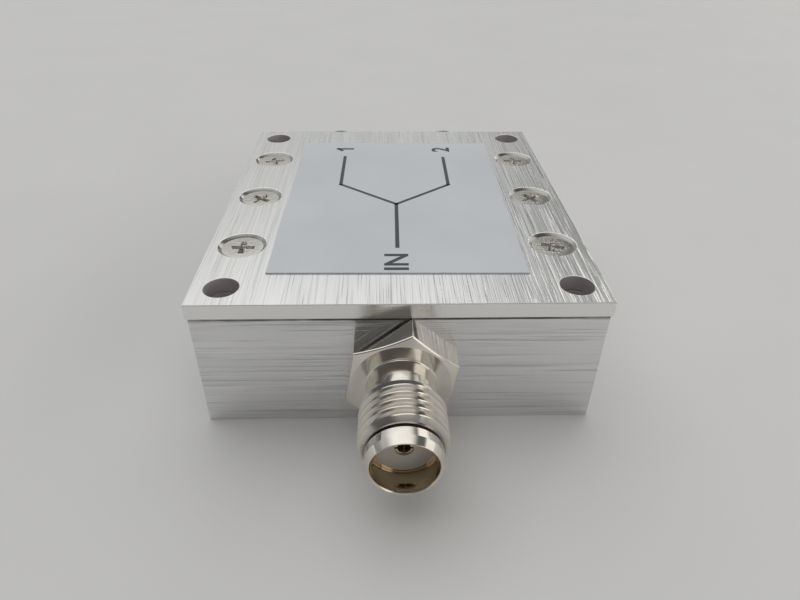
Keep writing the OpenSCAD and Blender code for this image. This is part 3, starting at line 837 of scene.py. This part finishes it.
def jack_shell(name):
    """One jack's shell, in its place."""
    bm = bmesh.new()
    spin_chain(bm, shell_chain(), SHELL_STEPS)
    bmesh.ops.remove_doubles(bm, verts=bm.verts, dist=MERGE_GAP)
    mill_hexagon(bm)
    bmesh.ops.recalc_face_normals(bm, faces=bm.faces)
    on_rim = HEX_FACE_R + EDGE_BREAK
    break_edges(bm, HEX_EDGE_BREAK, lambda spot: spot.z > HEX_HIGH / 2 and spot.xy.length > on_rim)
    break_edges(bm, EDGE_BREAK, lambda spot: spot.z < HEX_HIGH / 2 or spot.z > THREAD_START)
    root = THREAD_R - THREAD_DEPTH
    low = THREAD_START + root - NECK_R
    high = THREAD_END - THREAD_GAP
    band = thread_band(
        THREAD_R, THREAD_DEPTH, THREAD_PITCH, low, high, root, THREAD_R - THREAD_LEAD, SHELL_STEPS
    )
    add_band(bm, band)
    bridge_open_ends(bm, (THREAD_START + THREAD_END) / 2)
    merge_and_turn_out(bm)
    recess = bm.verts.layers.float.new("recess")
    inside = bm.verts.layers.float.new("inside")
    for vert in bm.verts:
        radius = vert.co.xy.length
        # The recess value darkens the groove and the thread's roots as painted shade.
        if radius > MOUTH_R + MOUTH_BEVEL and low < vert.co.z < COLLAR_START:
            in_groove = vert.co.z > high
            vert[recess] = 1.0 if in_groove else THREAD_ROOT_SHADE * (THREAD_R - radius) / THREAD_DEPTH
        if radius < MOUTH_R + MOUTH_BEVEL / 2:
            vert[inside] = 1.0
    corner_up = math.radians(30 - HEX_TURNS[name])
    bm.transform(jack_place(name) @ Matrix.Rotation(corner_up, 4, "Z"))
    finish_piece(bm, "jack_shell_" + name, [JACK_NICKEL], ["shell_" + name])


for name in JACKS:
    jack_shell(name)

# %% [markdown]
# ## The lid screws
# Each is a flat-head screw with a cross recess. Head and tip are spun outlines, and a thread joins them.
# The recess is a cross drawn as a loop inside the head's rim: the space between the two loops is filled
# to make the face, and the cross is then pushed down in steps, narrowing as it goes, to a small floor.
# The first step is short and wide, where the driver has worn the edge. Every screw stopped at its own turn.

# %% Screw sizes in millimetres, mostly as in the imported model
SCREW_ROWS = 3
RECESS_TURN = 53.0
HEAD_R = 1.8
HEAD_TOP = -0.23
SHANK_R = 1.0
SHANK_PITCH = 0.4
SHANK_DEPTH = 0.2
SCREW_LENGTH = 6.0
RECESS_SPAN = 2.0
RECESS_ARM = 0.5
# Each step down the recess: its drop, its narrowing, and its depth from 0 to 1
RECESS_STEPS = ((0.05, 0.95, 0.5), (0.20, 0.86, 0.8), (0.35, 0.45, 1.0))
# The recess value on the cross's rim: rubbing there roughens and bruises the head, and painted shade darkens
# it.
RUBBED_AND_SHADED = 0.4
SCREW_STEPS = 48
HEAD_EDGE = 0.07
print("screws:", 2 * SCREW_ROWS)

# %% One screw
def cross_loop(bm, height):
    """A closed loop of edges round a cross."""
    span = RECESS_SPAN / 2
    arm = RECESS_ARM / 2
    quarter = [(span, -arm), (span, arm), (arm, arm)]
    verts = []
    for turn in range(4):
        spin = Matrix.Rotation(math.radians(90 * turn), 3, "Z")
        verts += [bm.verts.new(spin @ Vector((x, y, height))) for x, y in quarter]
    return [bm.edges.new(pair) for pair in zip(verts, verts[1:] + verts[:1])]


def push_down(bm, loop, drop, narrow, layer, depth):
    """Extrudes a loop of edges downwards and draws it in; gives the new loop."""
    out = bmesh.ops.extrude_edge_only(bm, edges=loop)["geom"]
    verts = [item for item in out if isinstance(item, bmesh.types.BMVert)]
    bmesh.ops.scale(bm, verts=verts, vec=(narrow, narrow, 1))
    bmesh.ops.translate(bm, verts=verts, vec=(0, 0, -drop))
    for vert in verts:
        vert[layer] = depth
    return [item for item in out if isinstance(item, bmesh.types.BMEdge)]


def lid_screw():
    """One screw, drawn with the lid's face at height 0."""
    bm = bmesh.new()
    layer = bm.verts.layers.float.new("recess")
    cone_foot = HEAD_TOP - (HEAD_R - SHANK_R)
    tip = HEAD_TOP - SCREW_LENGTH
    face_r = HEAD_R - HEAD_EDGE
    edge_r = HEAD_R - HEAD_EDGE / 4
    head = [(face_r, HEAD_TOP), (edge_r, HEAD_TOP - HEAD_EDGE), (SHANK_R, cone_foot)]
    spin_chain(bm, head, SCREW_STEPS)
    core = SHANK_R - SHANK_DEPTH
    spin_chain(bm, [(core, tip + SHANK_DEPTH), (core - SHANK_DEPTH, tip), (0, tip)], SCREW_STEPS)
    bmesh.ops.remove_doubles(bm, verts=bm.verts, dist=MERGE_GAP)
    rim = [edge for edge in bm.edges if edge.is_boundary and edge.verts[0].co.z > HEAD_TOP - SLACK]
    cross = cross_loop(bm, HEAD_TOP)
    for vert in {vert for edge in cross for vert in edge.verts}:
        vert[layer] = RUBBED_AND_SHADED
    bmesh.ops.triangle_fill(bm, edges=rim + cross, use_beauty=True, normal=(0, 0, 1))
    for drop, narrow, depth in RECESS_STEPS:
        cross = push_down(bm, cross, drop, narrow, layer, depth)
    bmesh.ops.edgeloop_fill(bm, edges=cross)
    band = thread_band(
        SHANK_R, SHANK_DEPTH, SHANK_PITCH, tip + 1.5 * SHANK_DEPTH, cone_foot - SHANK_DEPTH / 2,
        core, core, SCREW_STEPS // 2,
    )
    add_band(bm, band)
    bridge_open_ends(bm, (tip + cone_foot) / 2)
    merge_and_turn_out(bm)
    return bm


def all_lid_screws():
    """The six screws, each at its place and turn, in one piece."""
    bm = bmesh.new()
    mesh = bpy.data.meshes.new("one_screw")
    one = lid_screw()
    one.to_mesh(mesh)
    one.free()
    for side in range(2):
        for row in range(SCREW_ROWS):
            before = len(bm.verts)
            bm.from_mesh(mesh)
            bm.verts.ensure_lookup_table()
            along = (row - (SCREW_ROWS - 1) / 2) * SCREW_PITCH
            place = Vector(((2 * side - 1) * SCREW_X, along, LID_FACE / MM))
            turn = math.radians((side * SCREW_ROWS + row) * RECESS_TURN)
            move = Matrix.Scale(MM, 4) @ Matrix.Translation(place) @ Matrix.Rotation(turn, 4, "Z")
            bmesh.ops.transform(bm, matrix=move, verts=bm.verts[before:])
    bpy.data.meshes.remove(mesh)
    finish_piece(bm, "lid_screws_cross", [SCREW_NICKEL], ["lid_screws"])


all_lid_screws()

# %% [markdown]
# ## The lid plate
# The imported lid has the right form, and its outer edges are broken, but its holes are knife-edged. In a
# merged copy the rims of the holes and the countersinks get a small break too, so that they catch the light
# as on a deburred plate. Its two large faces are shaded flat, as smooth shading would smear at the rims.

# %% Lid
LID_BREAK = 0.06 * MM
RIM_ZONE = 0.3 * MM
LID_MERGE = 1e-7
SAME_PLANE = math.radians(0.5)
LEVEL = 0.999


def lid_plate():
    """The lid, with the rims of its holes broken."""
    bm = bmesh.new()
    bm.from_mesh(frame["nodes"]["lid"].data)
    bmesh.ops.remove_doubles(bm, verts=bm.verts, dist=LID_MERGE)
    bmesh.ops.dissolve_limit(bm, angle_limit=SAME_PLANE, verts=bm.verts, edges=bm.edges)
    inner_x = lid_high.x - RIM_ZONE
    inner_y = lid_high.y - RIM_ZONE
    break_edges(bm, LID_BREAK, lambda spot: abs(spot.x) < inner_x and abs(spot.y) < inner_y)
    plate = finish_piece(bm, "lid_plate", [LID_ALUMINIUM], ["lid"])
    for face in plate.data.polygons:
        if abs(face.normal.z) > LEVEL:
            face.use_smooth = False


lid_plate()

# %% [markdown]
# ## The printed label
# The label is a rectangle of film, stuck on a little crooked. It is a fine grid, so that it can carry two
# small blisters where it didn't take, and it is extruded up from the lid. The print is raised ink: port
# marks, and the sign for a splitter, one line that becomes two. Letters run along the box, as they do on
# the part.

# %% Label sizes in millimetres
LABEL_WIDE = 20.8
LABEL_LONG = 28.6
LABEL_THICK = 0.1
LABEL_SKEW = math.radians(-0.6)
FILM_GRID = (42, 58)
# Each blister: its middle, its half widths and its height
BLISTERS = (((-5.4, 5.0), (0.7, 1.0), 0.05), ((-8.3, -3.3), (0.8, 0.9), 0.03))
INK_THICK = 0.012
MARK_HIGH = 2.0
MARK_BOLD = 0.055
CAPITAL_SHARE = 0.73
PORT_MARKS = (("IN", (0.0, -12.65)), ("1", (-5.55, 12.35)), ("2", (5.3, 12.2)))
FLAG_START = (-0.85, 0.0)
FLAG_END = (-0.45, -0.5)
TRACE_WIDE = 0.34
TRACE_CUTS = 30
TRACE_START = (0.0, -10.2)
FORK = (0.0, -2.0)
BRANCH_RISE = 4.5
MARK_GAP = 2.4
print("label", LABEL_WIDE, "by", LABEL_LONG, "mm")

# %% Film
def film_rise(x, y):
    """How far the film lifts over its blisters."""
    rise = 0.0
    for (middle_x, middle_y), (half_x, half_y), height in BLISTERS:
        away = ((x - middle_x) / half_x) ** 2 + ((y - middle_y) / half_y) ** 2
        rise += height * math.exp(-2 * away)
    return rise


def label_sheet():
    """The film, drawn about the label's middle with the lid's face at height 0."""
    bm = bmesh.new()
    bmesh.ops.create_grid(bm, x_segments=FILM_GRID[0], y_segments=FILM_GRID[1], size=0.5)
    bmesh.ops.scale(bm, verts=bm.verts, vec=(LABEL_WIDE, LABEL_LONG, 1))
    lifted = bmesh.ops.extrude_face_region(bm, geom=bm.faces[:])["geom"]
    for vert in (item for item in lifted if isinstance(item, bmesh.types.BMVert)):
        vert.co.z = LABEL_THICK + film_rise(vert.co.x, vert.co.y)
    bmesh.ops.recalc_face_normals(bm, faces=bm.faces)
    return bm


def port_mark(bm, text, spot):
    """Adds a mark in raised ink, its letters' tops towards -X."""
    curve = bpy.data.curves.new("mark", "FONT")
    curve.body = text
    curve.size = MARK_HIGH / CAPITAL_SHARE
    curve.align_x = "CENTER"
    curve.align_y = "CENTER"
    curve.extrude = INK_THICK / 2
    curve.offset = MARK_BOLD
    letters = bpy.data.objects.new("mark", curve)
    mesh = bpy.data.meshes.new_from_object(letters)
    move = Matrix.Translation((*spot, LABEL_THICK + INK_THICK / 2))
    mesh.transform(move @ Matrix.Rotation(math.radians(90), 4, "Z"))
    before = len(bm.faces)
    bm.from_mesh(mesh)
    bm.faces.ensure_lookup_table()
    for face in bm.faces[before:]:
        face.material_index = 1
    bpy.data.objects.remove(letters)
    bpy.data.curves.remove(curve)
    bpy.data.meshes.remove(mesh)


def trace(bm, start, end):
    """Adds a straight printed line between two points."""
    run = Vector(end) - Vector(start)
    first_face = len(bm.faces)
    first_vert = len(bm.verts)
    bar = bmesh.ops.create_cube(bm, size=1.0)["verts"]
    left = [vert for vert in bar if vert.co.x < 0]
    long_edges = [edge for vert in left for edge in vert.link_edges if edge.other_vert(vert).co.x > 0]
    bmesh.ops.subdivide_edges(bm, edges=long_edges, cuts=TRACE_CUTS, use_grid_fill=True)
    bm.verts.ensure_lookup_table()
    verts = bm.verts[first_vert:]
    bmesh.ops.scale(bm, verts=verts, vec=(run.length + TRACE_WIDE, TRACE_WIDE, INK_THICK))
    middle = (Vector(start) + Vector(end)) / 2
    turn = math.atan2(run.y, run.x)
    move = Matrix.Translation((*middle, LABEL_THICK + INK_THICK / 2)) @ Matrix.Rotation(turn, 4, "Z")
    bmesh.ops.transform(bm, matrix=move, verts=verts)
    for vert in verts:
        vert.co.z += film_rise(vert.co.x, vert.co.y)
    bm.faces.ensure_lookup_table()
    for face in bm.faces[first_face:]:
        face.material_index = 1


def printed_label():
    """The film with its marks and the splitter's sign."""
    bm = label_sheet()
    for text, spot in PORT_MARKS:
        port_mark(bm, text, spot)
    one = Vector(PORT_MARKS[1][1])
    trace(bm, one + Vector(FLAG_START), one + Vector(FLAG_END))
    trace(bm, TRACE_START, FORK)
    for _, (x, y) in PORT_MARKS[1:]:
        bend = (x, FORK[1] + BRANCH_RISE)
        trace(bm, FORK, bend)
        trace(bm, bend, (x, y - MARK_GAP))
    on_lid = Matrix.Scale(MM, 4) @ Matrix.Translation((0, 0, LID_FACE / MM))
    bm.transform(on_lid @ Matrix.Rotation(LABEL_SKEW, 4, "Z"))
    finish_piece(bm, "label_printed", [LABEL_FILM, LABEL_INK], ["label"])


printed_label()

# %% [markdown]
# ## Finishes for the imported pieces
# The other pieces already have the form they need, so each only takes its finish.

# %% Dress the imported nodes
def dress(material, *nodes):
    """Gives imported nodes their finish."""
    for node in nodes:
        data = frame["nodes"][node].data
        data.materials.clear()
        data.materials.append(material)


dress(CASE_ALUMINIUM, "housing")
dress(INSULATOR_SHADE_GREY, *["insulator_" + name for name in JACKS])
dress(CONTACT_GOLD, *["contact_" + name for name in JACKS])
dress(SCREW_NICKEL, "board_screws")
dress(SOLDER_TIN, "solder_joints")
dress(BOARD_GREEN, "circuit_board")
dress(FERRITE, "matching_core", "splitter_core")
dress(ENAMELLED_COPPER, "matching_winding", "splitter_winding")
dress(RESISTOR_BLACK, "isolation_resistor")
dress(CAPACITOR_TAN, "chip_capacitors")
print("packed pieces dressed")

# %% [markdown]
# ## Floor and light
# Bare metal shows what stands around it, so the light is a room in plain greys, painted on the sky: a
# bright wall behind and to the left, which the lid mirrors, a dark gap beside it, and a window that fills
# the right side, is brightest towards the back, and draws the white band along each jack. The room in
# front is dark, so that facets turned there stay dark, but for a low pale wall straight ahead, which the
# lid mirrors when it is seen from behind. The ceiling lights the floor. A plain strip runs all round the
# horizon, greyer in front, and stands behind the part in views from the side.

# %% Floor
FLOOR_SIDE = 4.0
FLOOR_TONES = (rgb(0.78, 0.775, 0.77), rgb(0.83, 0.825, 0.82))
FLOOR_CLOUDS = 0.05


def pale_floor():
    """A plain pale floor, as stage."""
    bm = bmesh.new()
    bmesh.ops.create_grid(bm, x_segments=1, y_segments=1, size=FLOOR_SIDE / 2)
    mesh = bpy.data.meshes.new("floor")
    bm.to_mesh(mesh)
    bm.free()
    material, tree, shader, place = new_material("pale_floor", Roughness=0.7)
    uneven = noise(tree, place, FLOOR_CLOUDS * PER_MM, 3.0)
    tree.links.new(mix_colours(tree, uneven, *FLOOR_TONES), shader.inputs["Base Color"])
    mesh.materials.append(material)
    floor = bpy.data.objects.new("floor", mesh)
    bpy.context.scene.collection.objects.link(floor)
    print("floor", FLOOR_SIDE, "m wide")


pale_floor()

# %% The room's tones, and where its parts begin and end along the axes
BACK_WALL = Vector((-0.35, 0.80, 0.48)).normalized()
CEILING = Vector((-0.1, 0.3, 0.95)).normalized()
DARK_ROOM = rgb(0.13, 0.13, 0.13)
FRONT_BAND = rgb(0.45, 0.45, 0.45)
WALL_LIGHT = rgb(0.82, 0.83, 0.82)
CEILING_LIGHT = rgb(1.12, 1.12, 1.11)
WINDOW_LIGHT = rgb(2.10, 2.06, 1.95)
WINDOW_FRONT = rgb(1.10, 1.08, 1.03)
HORIZON_BACK = rgb(0.64, 0.64, 0.64)
HORIZON_FRONT = rgb(0.40, 0.40, 0.40)
BAND_AHEAD = (-0.75, -0.5)
BAND_FOOT = (0.14, 0.24)
BAND_TOP = (0.42, 0.52)
BAND_LEFT_END = (-0.25, -0.05)
WALL_REACH = (0.35, 0.80)
WALL_RIGHT_END = (0.11, 0.35)
WALL_RISE = (0.36, 0.54)
WALL_FOOT_SHARE = 0.58
CEILING_REACH = (0.70, 0.90)
WINDOW_LEFT_END = (0.40, 0.49)
WINDOW_TOP = (0.50, 0.62)
WINDOW_BACK = (0.66, 0.80)
STRIP_TOP = (0.10, 0.14)
STRIP_TURN = (-0.4, 0.1)
print("wall towards", tuple(round(v, 2) for v in BACK_WALL))

# %% Sky
def studio_sky():
    """The room as seen from the part: dark in front, a lit wall behind, a ceiling, a window on the right."""
    world = bpy.data.worlds.new("studio")
    bpy.context.scene.world = world
    world.use_nodes = True
    tree = world.node_tree
    direction = add(tree, "TexCoord").outputs["Generated"]
    x, y, z = add(tree, "SeparateXYZ", {0: direction}).outputs

    def past(axis, low, high):
        return remap(tree, axis, low, high)

    def before(axis, low, high):
        return remap(tree, axis, low, high, 1.0, 0.0)

    def towards(aim, low, high):
        dot = add(tree, "VectorMath", {0: direction, 1: aim}, operation="DOT_PRODUCT").outputs["Value"]
        return past(dot, low, high)

    def both(first, second):
        return math_node(tree, "MULTIPLY", first, second)

    band = both(both(before(y, *BAND_AHEAD), past(z, *BAND_FOOT)), before(z, *BAND_TOP))
    light = mix_colours(tree, both(band, past(x, *BAND_LEFT_END)), DARK_ROOM, FRONT_BAND)
    wall = both(towards(BACK_WALL, *WALL_REACH), before(x, *WALL_RIGHT_END))
    wall = both(wall, remap(tree, z, *WALL_RISE, WALL_FOOT_SHARE, 1.0))
    light = mix_colours(tree, wall, light, WALL_LIGHT)
    light = mix_colours(tree, towards(CEILING, *CEILING_REACH), light, CEILING_LIGHT)
    pane = mix_colours(tree, past(y, *WINDOW_BACK), WINDOW_FRONT, WINDOW_LIGHT)
    window = both(past(x, *WINDOW_LEFT_END), before(z, *WINDOW_TOP))
    light = mix_colours(tree, window, light, pane)
    strip = mix_colours(tree, past(y, *STRIP_TURN), HORIZON_FRONT, HORIZON_BACK)
    light = mix_colours(tree, before(z, *STRIP_TOP), light, strip)
    tree.links.new(light, tree.nodes["Background"].inputs["Color"])


studio_sky()
print("sky:", bpy.context.scene.world.name)

# %% [markdown]
# ## The last update
# The dressed part has to stay in the imported part's box. The scene is updated once more at the end.

# %% Update the scene
bpy.context.view_layer.update()
